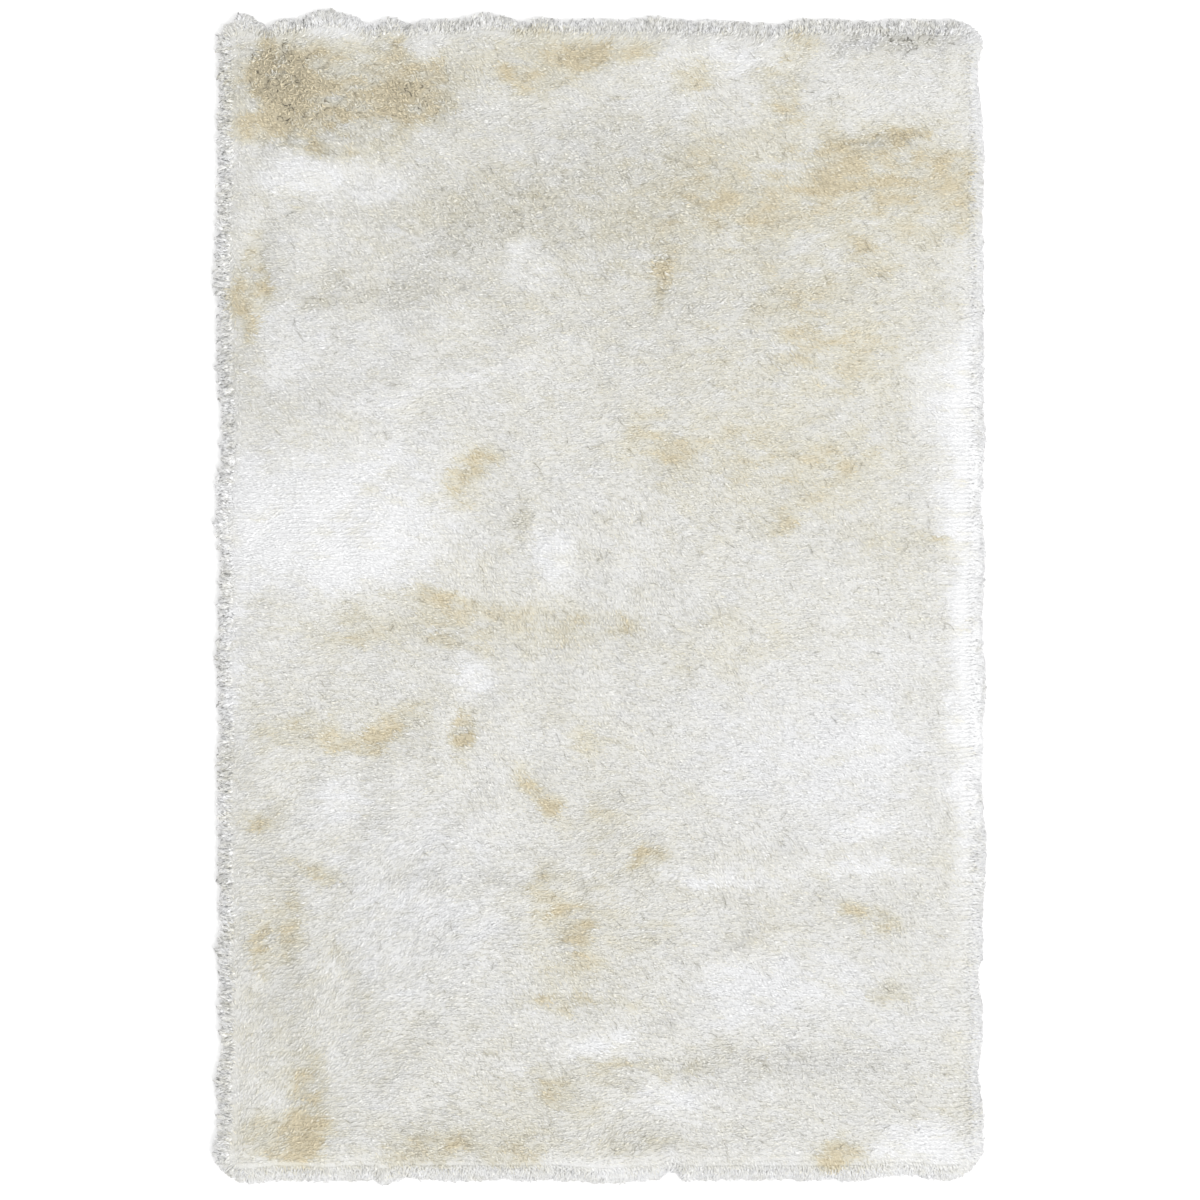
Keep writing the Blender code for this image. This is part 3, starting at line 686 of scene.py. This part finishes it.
def strands_mesh(name, strands):
    """One mesh of many yarn ends."""
    verts = blade_verts(strands)
    count = len(verts)
    corners = (BLADE_FACES[None] + 4 * np.arange(count)[:, None, None]).reshape(-1)
    mesh = bpy.data.meshes.new(name)
    mesh.vertices.add(count * 4)
    mesh.vertices.foreach_set("co", verts.astype(np.float32).ravel())
    mesh.loops.add(len(corners))
    mesh.loops.foreach_set("vertex_index", corners.astype(np.int32))
    mesh.polygons.add(len(corners) // 3)
    mesh.polygons.foreach_set("loop_start", np.arange(0, len(corners), 3, dtype=np.int32))
    mesh.update(calc_edges=True)
    soften_normals(mesh, strands.up, strands.softness)
    add_plan_map(mesh, verts.reshape(-1, 3)[corners][:, :2])
    add_values(mesh, "tint", np.repeat(strands.tint, 4))
    add_values(mesh, "shade", np.repeat(strands.shade, 4) * np.tile(ALONG_PAINTED_SHADE, count))
    return mesh


def place(name, mesh, material):
    mesh.materials.append(material)
    piece = bpy.data.objects.new(name, mesh)
    bpy.context.scene.collection.objects.link(piece)
    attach(piece, "root")
    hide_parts("shag_rug")
    return piece


def crease_at(x, y):
    """1 in the partings, which meander and fade out, and 0 elsewhere."""
    size, width = CREASE
    near = 1 - smooth_step(0.0, width, np.abs(soft_noise(x, y, size, CREASE_LAYERS[0])))
    fade = smooth_step(*CREASE_FADE, soft_noise(x, y, size * CREASE_FADE_SIZE, CREASE_LAYERS[1]))
    return near * fade


def pit_at(x, y):
    return smooth_step(*PIT_EDGE, soft_noise(x, y, PIT_SIZE, PIT_LAYER))


def row_ripple(x, y):
    """1 on the crest of a row of tufts and -1 in the dip between rows."""
    size, reach = ROW_STRAY
    return np.cos(2 * math.pi * (y / ROW_PITCH + reach * soft_noise(x, y, size, ROW_LAYER)))


def even_values(shape, step, rng):
    """Values from -1 to 1 that differ from stitch to stitch but even out over a few of them."""
    rows, stitches = shape
    values = np.arange(stitches) * step + rng.random((rows, 1)) + rng.uniform(0.0, STITCH_STRAY, shape)
    return (values % 1.0).ravel() * 2 - 1


def field_yarn(rng):
    """The yarn ends over the whole field."""
    half_width = RUG_WIDTH / 2 - ROOT_INSET
    half_length = RUG_LENGTH / 2 - ROOT_INSET
    rows = round(2 * half_length / ROW_PITCH)
    stitches = round(2 * half_width / STITCH)
    v, u = np.meshgrid(
        (np.arange(rows) + 0.5) / rows * 2 - 1,
        (np.arange(stitches) + 0.5) / stitches * 2 - 1,
        indexing="ij",
    )
    u = u.ravel()
    v = v.ravel()
    count = len(u)
    u = np.clip(u + rng.uniform(-0.5, 0.5, count) * 2 / stitches, -1, 1)
    v = np.clip(v + rng.normal(0.0, ROW_WANDER, count) / half_length, -1, 1)
    x, y = plan_points(u, v, ROOT_INSET)
    from_side = (1 - np.abs(u)) * half_width
    from_end = (1 - np.abs(v)) * half_length
    outward_x = np.sign(u) * np.maximum(0.0, 1 - from_side / RIM_PULL) ** RIM_PULL_POWER
    outward_y = np.sign(v) * np.maximum(0.0, 1 - from_end / RIM_PULL) ** RIM_PULL_POWER
    turns, lengths, heights, shades, sides = (
        even_values((rows, stitches), step, rng) for step in STITCH_STEPS
    )
    tint, sleek = patches_at(x, y)
    calm = 1 - CALM_SLEEK * np.clip(sleek, 0.0, 1.0)
    heading = lay_at(x, y, outward_x, outward_y) + SWIRL_OF_ONE * turns * (0.5 + 0.5 * calm)
    inside = np.minimum(from_side, from_end) + ROOT_INSET - RIM_INSET
    leftward = LEFTWARD[0] + (LEFTWARD[1] - LEFTWARD[0]) * (u + 1) / 2
    pull = np.clip(np.hypot(outward_x, outward_y), 0.0, 1.0)
    heading += np.where(sides / 2 + 0.5 < leftward * (1 - pull), math.pi, 0.0)
    matted = np.clip(-sleek, 0.0, 1.0)
    heading += rng.normal(0.0, 1.0, count) * STRAY_MATTED * matted
    run = YARN_RUN * (1 - SHORT_MATTED * matted) + YARN_RUN_SPREAD * lengths
    run = np.maximum(run, LEAST_RUN)
    ahead = np.stack([np.cos(heading), np.sin(heading)], 1)
    root = np.stack([x, y], 1)
    tip = root + ahead * run[:, None]
    centre = np.stack(clump_centres(tip[:, 0], tip[:, 1], rng), 1)
    pull = CLUMP_PULL * (1 - np.clip(sleek, 0.0, 1.0)) + MATTED_PULL * matted
    tip += (centre - tip) * pull[:, None]
    crease = crease_at(tip[:, 0], tip[:, 1])
    pit = pit_at(tip[:, 0], tip[:, 1]) * np.clip(PIT_MATTED[0] * matted - PIT_MATTED[1], 0.0, 1.0)
    surface = pile_height(x, y, inside)
    to_side = from_side + ROOT_INSET - np.sign(u) * (tip[:, 0] - x)
    to_end = from_end + ROOT_INSET - np.sign(v) * (tip[:, 1] - y)
    over = np.clip(1 - np.minimum(to_side, to_end) / ARC_WIDTH, 0.0, 1.0)
    tip_surface = np.where(over > 0, ARC_FOOT + (surface - ARC_FOOT) * np.sqrt(1 - over**2), surface)
    widest = rng.uniform(*YARN_WIDEST, count)
    ring = root + (tip - root) * widest[:, None]
    sideways = np.stack([-ahead[:, 1], ahead[:, 0]], 1)
    ring += sideways * rng.normal(0.0, CURL, count)[:, None]
    line = np.empty((count, 3, 3))
    line[:, 0, :2] = root
    line[:, 1, :2] = ring
    line[:, 2, :2] = tip
    line[:, 0, 2] = surface - ROOT_DEPTH
    line[:, 2, 2] = tip_surface + TIP_SPREAD * heights * (calm + MATTED_SPREAD * matted)
    ripple = row_ripple(tip[:, 0], tip[:, 1])
    line[:, 2, 2] += ROW_RIPPLE / 2 * ripple - CREASE_DEPTH * crease - PIT_DEPTH * pit
    line[:, 1, 2] = line[:, 0, 2] + (line[:, 2, 2] - line[:, 0, 2]) * widest
    widths = rng.uniform(*YARN_WIDTH, (count, 1)) * (1 + WIDER_SLEEK * (1 - calm))[:, None]
    roll = rng.uniform(-YARN_ROLL, YARN_ROLL, count) * calm
    tint_spread = YARN_TINT[0] + YARN_TINT[1] * np.clip(tint, 0.0, 1.0)
    tint = tint + rng.normal(0.0, 1.0, count) * tint_spread
    # Painted shade: yarn in the partings and pits is made more tan.
    tint += CREASE_SHADE_TINT * crease + PIT_SHADE_TINT * pit
    # Painted sheen on sleek yarn, painted shade on matted yarn, painted light on the crests of the rows, and
    # painted shade in their dips, partings and pits.
    shade = 1.0 + SLEEK_PAINTED_SHEEN * np.maximum(sleek, 0.0) - MATTED_PAINTED_SHADE * matted
    shade += ROW_PAINTED_SHADE * ripple - CREASE_SHADE * crease - PIT_SHADE * pit
    shade += YARN_SHADE * shades * (YARN_SHADE_CALM * calm + YARN_SHADE_MATTED * matted**2)
    softness = SOFT_NORMALS + SOFTER_SLEEK * np.clip(sleek, 0.0, 1.0)
    up = np.tile((0.0, 0.0, 1.0), (count, 1))
    return Strands(line, widths, roll, tint, shade, up, softness)


def parting_shade_yarn(rng):
    """Dark thin yarn ends, in short winding chains: painted shade that marks the partings between tufts."""
    x = rng.uniform(-0.5, 0.5, PARTINGS) * (RUG_WIDTH - 2 * PARTING_INSET) + RUG_MIDDLE[0]
    y = rng.uniform(-0.5, 0.5, PARTINGS) * (RUG_LENGTH - 2 * PARTING_INSET) + RUG_MIDDLE[1]
    tint, sleek = patches_at(x, y)
    likely = PARTING_CHANCE + PARTING_TAN * np.clip(tint - BASE_TINT, 0.0, 0.5)
    likely += PARTING_MATTED * np.maximum(-sleek, 0.0)
    kept = rng.random(PARTINGS) < likely - PARTING_SLEEK * np.maximum(sleek, 0.0)
    x, y = x[kept], y[kept]
    heading = rng.choice(PARTING_HEADINGS, len(x)) + rng.normal(0.0, PARTING_TURN, len(x))
    heading = np.radians(heading)
    length = rng.uniform(*PARTING_LENGTH, len(x))
    lines = []
    for _ in range(PARTING_STEPS):
        ahead = np.stack([np.cos(heading), np.sin(heading)], 1)
        root = np.stack([x, y], 1)
        tip = root + ahead * length[:, None]
        line = np.empty((len(x), 3, 3))
        line[:, 0, :2] = root
        line[:, 1, :2] = (root + tip) / 2 + rng.normal(0.0, CURL / 2, (len(x), 2))
        line[:, 2, :2] = tip
        inside = np.minimum(RUG_WIDTH / 2 - np.abs(x - RUG_MIDDLE[0]),
                            RUG_LENGTH / 2 - np.abs(y - RUG_MIDDLE[1])) - RIM_INSET
        line[:, :, 2] = pile_height(x, y, inside)[:, None] + PARTING_RISE
        lines.append(line)
        x, y = (tip - ahead * PARTING_OVERLAP * length[:, None]).T
        heading = heading + rng.normal(0.0, PARTING_BEND, len(x))
    line = np.concatenate(lines)
    widths = rng.uniform(*PARTING_WIDTH, (len(line), 1))
    tint, _ = patches_at(line[:, 1, 0], line[:, 1, 1])
    shade = rng.uniform(*PARTING_SHADE, len(line))
    roll = rng.uniform(-PARTING_ROLL, PARTING_ROLL, len(line))
    up = np.tile((0.0, 0.0, 1.0), (len(line), 1))
    softness = np.full(len(line), SOFT_NORMALS)
    return Strands(line, widths, roll, tint + PARTING_SHADE_TINT, shade, up, softness)


def outline_points(spacing):
    """Places on the tips' outline at even steps, and the outward direction at each."""
    side = np.linspace(-1.0, 1.0, OUTLINE_STEPS, endpoint=False)
    ones = np.ones_like(side)
    u = np.concatenate([side, ones, -side, -ones])
    v = np.concatenate([-ones, side, ones, -side])
    x, y = plan_points(u, v, 0.0)
    loop = np.stack([np.append(x, x[0]), np.append(y, y[0])], 1)
    steps = np.linalg.norm(np.diff(loop, axis=0), axis=1)
    run = np.concatenate([[0.0], np.cumsum(steps)])
    count = int(run[-1] / spacing)
    at = (np.arange(count) + 0.5) * run[-1] / count

    def places_at(distances):
        distances = distances % run[-1]
        return np.stack([np.interp(distances, run, loop[:, k]) for k in (0, 1)], 1)

    tangent = places_at(at + TANGENT_REACH) - places_at(at - TANGENT_REACH)
    tangent /= np.linalg.norm(tangent, axis=1)[:, None]
    outward = np.stack([tangent[:, 1], -tangent[:, 0]], 1)
    return places_at(at), outward, tangent


def rim_yarn(rng):
    """The yarn ends that turn over the rim."""
    points, outward, tangent = outline_points(RIM_STITCH)
    shape = (len(ARC_ROWS), len(points))
    count = shape[0] * shape[1]
    points, outward, tangent = (
        np.tile(values, (len(ARC_ROWS), 1)) for values in (points, outward, tangent)
    )
    x, y = points.T
    turns, lengths, heights, shades, sides = (even_values(shape, step, rng) for step in STITCH_STEPS)
    tufted = TUFTED[0] + TUFTED[1] * outward[:, 0] + TUFTED[2] * outward[:, 1]
    tufted = np.clip(tufted, TUFTED_LEAST, 1.0)
    stray = TUFT_STRAY[1] * soft_noise(x, y, TUFT_STRAY[0], TUFT_LAYER)
    along = np.tile(np.arange(shape[1]), shape[0]) * RIM_STITCH / TUFT_PITCH
    place_in_tuft = 2 * math.pi * (along + stray)
    ragged = RIM_SPREAD * sides + TUFT_REACH * tufted * np.cos(place_in_tuft)
    for layer, (size, reach) in enumerate(RIM_RAGGED):
        share = RAGGED_TUFTED[0] + RAGGED_TUFTED[1] * tufted
        ragged += reach * soft_noise(x, y, size, RAGGED_LAYER + layer) * share
    sway = soft_noise(x, y, RIM_SWAY_SIZE, SWAY_LAYER) + RIM_SWAY_OF_ONE * turns
    sway = RIM_SWAY * sway * (RIM_SWAY_TUFTED[0] - RIM_SWAY_TUFTED[1] * tufted)
    sway -= TUFT_PULL * tufted * np.sin(place_in_tuft)
    slide = rng.uniform(-0.5, 0.5, count) * RIM_STITCH
    start = np.repeat(ARC_ROWS, shape[1]) + rng.normal(0.0, ARC_START_SPREAD, count)
    span = ARC_SPAN + ARC_SPAN_SPREAD * lengths
    crown = pile_height(x - outward[:, 0] * ARC_WIDTH, y - outward[:, 1] * ARC_WIDTH,
                        np.full(count, ARC_WIDTH - RIM_INSET))
    line = np.empty((count, 3, 3))
    for k, (share, lift) in enumerate(ARC_LINE):
        angle = np.radians(np.maximum(start - span * share, ARC_END))
        reach = ARC_WIDTH * np.cos(angle) - ARC_WIDTH + lift * np.cos(angle)
        reach += ragged * np.clip(np.cos(angle), 0.0, 1.0)
        line[:, k, :2] = points + outward * reach[:, None]
        line[:, k, :2] += tangent * (slide + sway * share)[:, None]
        height = np.where(angle > 0, crown - ARC_FOOT, ARC_FOOT * ARC_UNDER)
        line[:, k, 2] = ARC_FOOT + (height + lift) * np.sin(np.minimum(angle, math.pi / 2))
    line[:, 1, :2] += tangent * rng.normal(0.0, CURL, count)[:, None]
    line[:, 2, 2] += RIM_TIP_SPREAD * TIP_SPREAD * heights
    line[:, 1:, 2] += TUFT_RISE * (tufted * np.cos(place_in_tuft))[:, None]
    middle = np.radians(np.clip(start - span / 2, ARC_END, 90.0))
    up = np.concatenate([outward * np.cos(middle)[:, None], np.sin(middle)[:, None]], 1)
    widths = rng.uniform(*YARN_WIDTH, (count, 1))
    tint, sleek = patches_at(line[:, 2, 0], line[:, 2, 1])
    on_right = np.maximum(outward[:, 0], 0.0)
    tint = tint + RIM_TINT[0] + RIM_TINT[1] * on_right + rng.normal(0.0, RIM_TINT_SPREAD, count)
    # Painted sheen and shade by sleekness, painted shade low on the rim, between its tufts and on a share of
    # its ends, and painted light on its tufted sides.
    shade = 1.0 + RIM_SHEEN_AND_SHADE * sleek
    shade += YARN_SHADE * shades * (RIM_YARN_SHADE[0] + RIM_YARN_SHADE[1] * tufted)
    shade -= RIM_RIGHT_SHADE * on_right
    shade -= RIM_EDGE_SHADE * tufted * np.clip(1 - start / RIM_EDGE_SHADE_TOP, 0.0, 1.0)
    shade -= tufted * (TUFT_HOLLOW_SHADE * (1 - np.cos(place_in_tuft)) - RIM_PAINTED_LIGHT)
    shade -= tufted * DARK_ENDS[1] * (rng.random(count) < DARK_ENDS[0])
    # Painted light and shade over the clumps of the tufted rim.
    for layer, (size, reach) in enumerate(TUFT_SHADE):
        light_and_shade = soft_noise(line[:, 2, 0], line[:, 2, 1], size, TUFT_SHADE_LAYER + layer)
        shade += reach * tufted * light_and_shade
    softness = SOFT_NORMALS + SOFTER_SLEEK * np.clip(sleek, 0.0, 1.0)
    roll = rng.uniform(-YARN_ROLL, YARN_ROLL, count)
    return Strands(line, widths, roll, tint, shade, up, softness)


def unit_grid(cells):
    """A flat grid over the square from -1 to 1, and the places of its points there."""
    bm = bmesh.new()
    bmesh.ops.create_grid(bm, x_segments=cells[0], y_segments=cells[1], size=1.0)
    square = np.array([vert.co[:2] for vert in bm.verts])
    return bm, square[:, 0], square[:, 1]


def set_heights(grown, height):
    """Moves the points of what an extrusion added to this height."""
    for vert in grown["geom"]:
        if isinstance(vert, bmesh.types.BMVert):
            vert.co.z = height


def mesh_from(bm, name):
    bmesh.ops.recalc_face_normals(bm, faces=bm.faces)
    mesh = bpy.data.meshes.new(name)
    bm.to_mesh(mesh)
    bm.free()
    return mesh


def build_bed(material):
    """The mass of the pile, which shows between the yarn ends."""
    bm, u, v = unit_grid(BED_CELLS)
    x, y = plan_points(u, v, BED_INSET)
    inside = np.minimum((1 - np.abs(u)) * RUG_WIDTH, (1 - np.abs(v)) * RUG_LENGTH) / 2
    matted = np.clip(-patches_at(x, y)[1], 0.0, 1.0)
    z = pile_height(x, y, inside) - BED_DEPTH - BED_MATTED * matted
    for layer, (size, rise) in enumerate(BED_BUMPS):
        z += rise * soft_noise(x, y, size, BED_LAYER + layer)
    z -= BED_EDGE[1] * np.clip(1 - inside / BED_EDGE[0], 0.0, 1.0) ** 2
    for vert, place_x, place_y, height in zip(bm.verts, x, y, z):
        vert.co = (place_x, place_y, height)
    rim = [edge for edge in bm.edges if edge.is_boundary]
    set_heights(bmesh.ops.extrude_edge_only(bm, edges=rim), BED_FOOT)
    foot = [edge for edge in bm.edges if edge.is_boundary]
    bmesh.ops.edgeloop_fill(bm, edges=foot)
    mesh = mesh_from(bm, "pile_bed")
    mesh.shade_smooth()
    places = np.empty(len(mesh.vertices) * 3, np.float32)
    mesh.vertices.foreach_get("co", places)
    places = places.reshape(-1, 3).astype(float)
    tint, sleek = patches_at(places[:, 0], places[:, 1])
    matted = np.maximum(-sleek, 0.0)
    # Painted shade of the gaps: more tan and darker where the yarn is matted.
    add_values(mesh, "tint", tint + BED_TINT_AND_SHADE[0] + BED_TINT_AND_SHADE[1] * matted)
    shade = BED_PAINTED_SHADE[0] + BED_PAINTED_SHADE[1] * np.maximum(sleek, 0.0) - BED_PAINTED_SHADE[2] * matted
    add_values(mesh, "shade", shade)
    corner = np.empty(len(mesh.loops), np.int32)
    mesh.loops.foreach_get("vertex_index", corner)
    add_plan_map(mesh, places[corner][:, :2])
    return place("pile_bed", mesh, material)


def build_cloth(material):
    """The woven cloth that carries the tufts, one thin slab on the floor."""
    bm, u, v = unit_grid(CLOTH_CELLS)
    x, y = plan_points(u, v, CLOTH_INSET)
    for vert, place_x, place_y in zip(bm.verts, x, y):
        vert.co = (place_x, place_y, 0.0)
    set_heights(bmesh.ops.extrude_face_region(bm, geom=list(bm.faces)), CLOTH_THICKNESS)
    return place("rug_cloth", mesh_from(bm, "rug_cloth"), material)


def new_material(name):
    material = bpy.data.materials.new(name)
    material.use_nodes = True
    return material, material.node_tree, material.node_tree.nodes["Principled BSDF"]


def value_node(tree, name):
    node = tree.nodes.new("ShaderNodeAttribute")
    node.attribute_type = "GEOMETRY"
    node.attribute_name = name
    return node.outputs["Fac"]


def noise_node(tree, scale, detail):
    place_node = tree.nodes.new("ShaderNodeTexCoord")
    node = tree.nodes.new("ShaderNodeTexNoise")
    node.inputs["Scale"].default_value = scale
    node.inputs["Detail"].default_value = detail
    tree.links.new(place_node.outputs["Object"], node.inputs["Vector"])
    return node.outputs["Fac"]


def math_node(tree, operation, first, second):
    node = tree.nodes.new("ShaderNodeMath")
    node.operation = operation
    for socket, value in zip(node.inputs, (first, second)):
        if isinstance(value, (int, float)):
            socket.default_value = value
        else:
            tree.links.new(value, socket)
    return node.outputs["Value"]


def add_bump(tree, shader, source, strength, height):
    bump = tree.nodes.new("ShaderNodeBump")
    bump.inputs["Strength"].default_value = strength
    bump.inputs["Distance"].default_value = height
    tree.links.new(source, bump.inputs["Height"])
    tree.links.new(bump.outputs["Normal"], shader.inputs["Normal"])


YARN_STIR = (260.0, 3.0, 0.15)  # noise in the tint: scale, detail and reach
YARN_GRAIN = (420.0, 1.0, 0.30)  # noise in the shade
FIBRES = (1400.0, 2.0)  # fine fibres: scale and detail
GLOSS_SPREAD = 0.25
GLOSS_START = 0.12  # how far under a yarn's roughness that spread starts
FIBRE_BUMP = (0.35, 0.0008)  # strength and height
WEAVE_BUMP = (0.6, 0.0006)
YARN_RAMP = (
    (0.00, (0.854, 0.856, 0.861)),
    (0.30, (0.812, 0.805, 0.767)),
    (0.60, (0.779, 0.753, 0.650)),
    (1.00, (0.750, 0.672, 0.492)),
)


def yarn_material(name, roughness, sheen):
    """Silky yarn, coloured by the patch that it is in and by its painted shade and sheen, with fine fibres.
    """
    material, tree, shader = new_material(name)
    stir = math_node(tree, "SUBTRACT", noise_node(tree, *YARN_STIR[:2]), 0.5)
    stir = math_node(tree, "MULTIPLY", stir, YARN_STIR[2])
    tint = math_node(tree, "ADD", value_node(tree, "tint"), stir)
    ramp = tree.nodes.new("ShaderNodeValToRGB")
    stops = ramp.color_ramp.elements
    for stop, (at, colour) in zip((stops[0], stops[1]), (YARN_RAMP[0], YARN_RAMP[-1])):
        stop.position = at
        stop.color = (*colour, 1.0)
    for at, colour in YARN_RAMP[1:-1]:
        stops.new(at).color = (*colour, 1.0)
    tree.links.new(tint, ramp.inputs["Fac"])
    grain = math_node(tree, "SUBTRACT", noise_node(tree, *YARN_GRAIN[:2]), 0.5)
    grain = math_node(tree, "ADD", math_node(tree, "MULTIPLY", grain, YARN_GRAIN[2]), 1.0)
    shade = math_node(tree, "MULTIPLY", value_node(tree, "shade"), grain)
    scale = tree.nodes.new("ShaderNodeVectorMath")
    scale.operation = "SCALE"
    tree.links.new(ramp.outputs["Color"], scale.inputs["Vector"])
    tree.links.new(shade, scale.inputs["Scale"])
    tree.links.new(scale.outputs["Vector"], shader.inputs["Base Color"])
    fibres = noise_node(tree, *FIBRES)
    gloss = math_node(tree, "MULTIPLY", fibres, GLOSS_SPREAD)
    gloss = math_node(tree, "ADD", gloss, roughness - GLOSS_START)
    tree.links.new(gloss, shader.inputs["Roughness"])
    add_bump(tree, shader, fibres, *FIBRE_BUMP)
    shader.inputs["Sheen Weight"].default_value = sheen
    shader.inputs["Sheen Roughness"].default_value = 0.4
    shader.inputs["Specular IOR Level"].default_value = 0.5
    return material


def cloth_material():
    """Plain weave in undyed cotton."""
    material, tree, shader = new_material("backing_cloth")
    threads = []
    for axis in ("X", "Y"):
        wave = tree.nodes.new("ShaderNodeTexWave")
        wave.bands_direction = axis
        wave.inputs["Scale"].default_value = 0.314 / THREAD_PITCH
        wave.inputs["Distortion"].default_value = 0.4
        wave.inputs["Detail Scale"].default_value = 2.0
        place_node = tree.nodes.new("ShaderNodeTexCoord")
        tree.links.new(place_node.outputs["Object"], wave.inputs["Vector"])
        threads.append(wave.outputs["Fac"])
    weave = math_node(tree, "MAXIMUM", threads[0], threads[1])
    stir = math_node(tree, "MULTIPLY", noise_node(tree, 14.0, 5.0), 0.5)
    mix = math_node(tree, "ADD", math_node(tree, "MULTIPLY", weave, 0.6), stir)
    ramp = tree.nodes.new("ShaderNodeValToRGB")
    ramp.color_ramp.elements[0].color = (0.33, 0.28, 0.20, 1.0)
    ramp.color_ramp.elements[1].color = (0.66, 0.60, 0.48, 1.0)
    tree.links.new(mix, ramp.inputs["Fac"])
    tree.links.new(ramp.outputs["Color"], shader.inputs["Base Color"])
    add_bump(tree, shader, weave, *WEAVE_BUMP)
    shader.inputs["Roughness"].default_value = 0.85
    return material


# Camera, floor and light.
CAMERA_AIM = (0.0005, -0.0055)
CAMERA_LENS = 100.0
SENSOR = 36.0
FRAME_SIZE = 2.382  # what the frame spans at the height of the pile
PILE_LEVEL = 0.035
CAMERA_HEIGHT = FRAME_SIZE * CAMERA_LENS / SENSOR + PILE_LEVEL
VIEW_DEPTH = 60.0
FLOOR_SIZE = 14.0
FLOOR_COLOUR = (0.86, 0.86, 0.86, 1.0)
FLOOR_GLOW = 0.24  # keeps the rug's own soft shadow faint
WORLD_STRENGTH = 0.965
KEY_STRENGTH = 1.2
KEY_HEADING = -32.0  # where the key light stands, in degrees from +X
KEY_ELEVATION = 50.0
KEY_SOFTNESS = 22.0
KEY_DISTANCE = 5.0


def add_camera():
    data = bpy.data.cameras.new("camera")
    data.lens = CAMERA_LENS
    data.sensor_width = SENSOR
    data.clip_end = VIEW_DEPTH
    camera = bpy.data.objects.new("camera", data)
    camera.location = (*CAMERA_AIM, CAMERA_HEIGHT)
    bpy.context.scene.collection.objects.link(camera)
    bpy.context.scene.camera = camera


def add_floor():
    mesh = bpy.data.meshes.new("floor")
    half = FLOOR_SIZE / 2
    mesh.from_pydata(
        [(-half, -half, 0), (half, -half, 0), (half, half, 0), (-half, half, 0)], [], [(0, 1, 2, 3)]
    )
    material, _, shader = new_material("floor")
    shader.inputs["Base Color"].default_value = FLOOR_COLOUR
    shader.inputs["Emission Color"].default_value = FLOOR_COLOUR
    shader.inputs["Emission Strength"].default_value = FLOOR_GLOW
    shader.inputs["Roughness"].default_value = 0.8
    mesh.materials.append(material)
    floor = bpy.data.objects.new("floor", mesh)
    bpy.context.scene.collection.objects.link(floor)


def add_light():
    world = bpy.data.worlds.new("studio")
    world.use_nodes = True
    background = world.node_tree.nodes["Background"]
    background.inputs["Color"].default_value = (1.0, 1.0, 1.0, 1.0)
    background.inputs["Strength"].default_value = WORLD_STRENGTH
    bpy.context.scene.world = world
    data = bpy.data.lights.new("key", "SUN")
    data.energy = KEY_STRENGTH
    data.angle = math.radians(KEY_SOFTNESS)
    key = bpy.data.objects.new("key", data)
    heading = math.radians(KEY_HEADING)
    elevation = math.radians(KEY_ELEVATION)
    level = math.cos(elevation)
    towards = Vector((math.cos(heading) * level, math.sin(heading) * level, math.sin(elevation)))
    key.rotation_euler = towards.to_track_quat("Z", "Y").to_euler()
    key.location = towards * KEY_DISTANCE
    bpy.context.scene.collection.objects.link(key)


rng = np.random.default_rng(SEED)
yarn = yarn_material("ivory_yarn", 0.45, 0.25)
deep_yarn = yarn_material("deep_yarn", 0.7, 0.1)
pile = [build_bed(deep_yarn)]
field = field_yarn(rng)
for number, part in enumerate(np.array_split(np.arange(len(field.line)), PIECES_OF_FIELD)):
    some = Strands(*(values[part] for values in field))
    pile.append(place(f"pile_yarn_{number + 1}", strands_mesh(f"pile_yarn_{number + 1}", some), yarn))
pile.append(place("rim_yarn", strands_mesh("rim_yarn", rim_yarn(rng)), yarn))
pile.append(place("parting_shade_yarn", strands_mesh("parting_shade_yarn", parting_shade_yarn(rng)), yarn))
cloth = build_cloth(cloth_material())
add_camera()
add_floor()
add_light()
bpy.context.scene.view_settings.view_transform = "Standard"
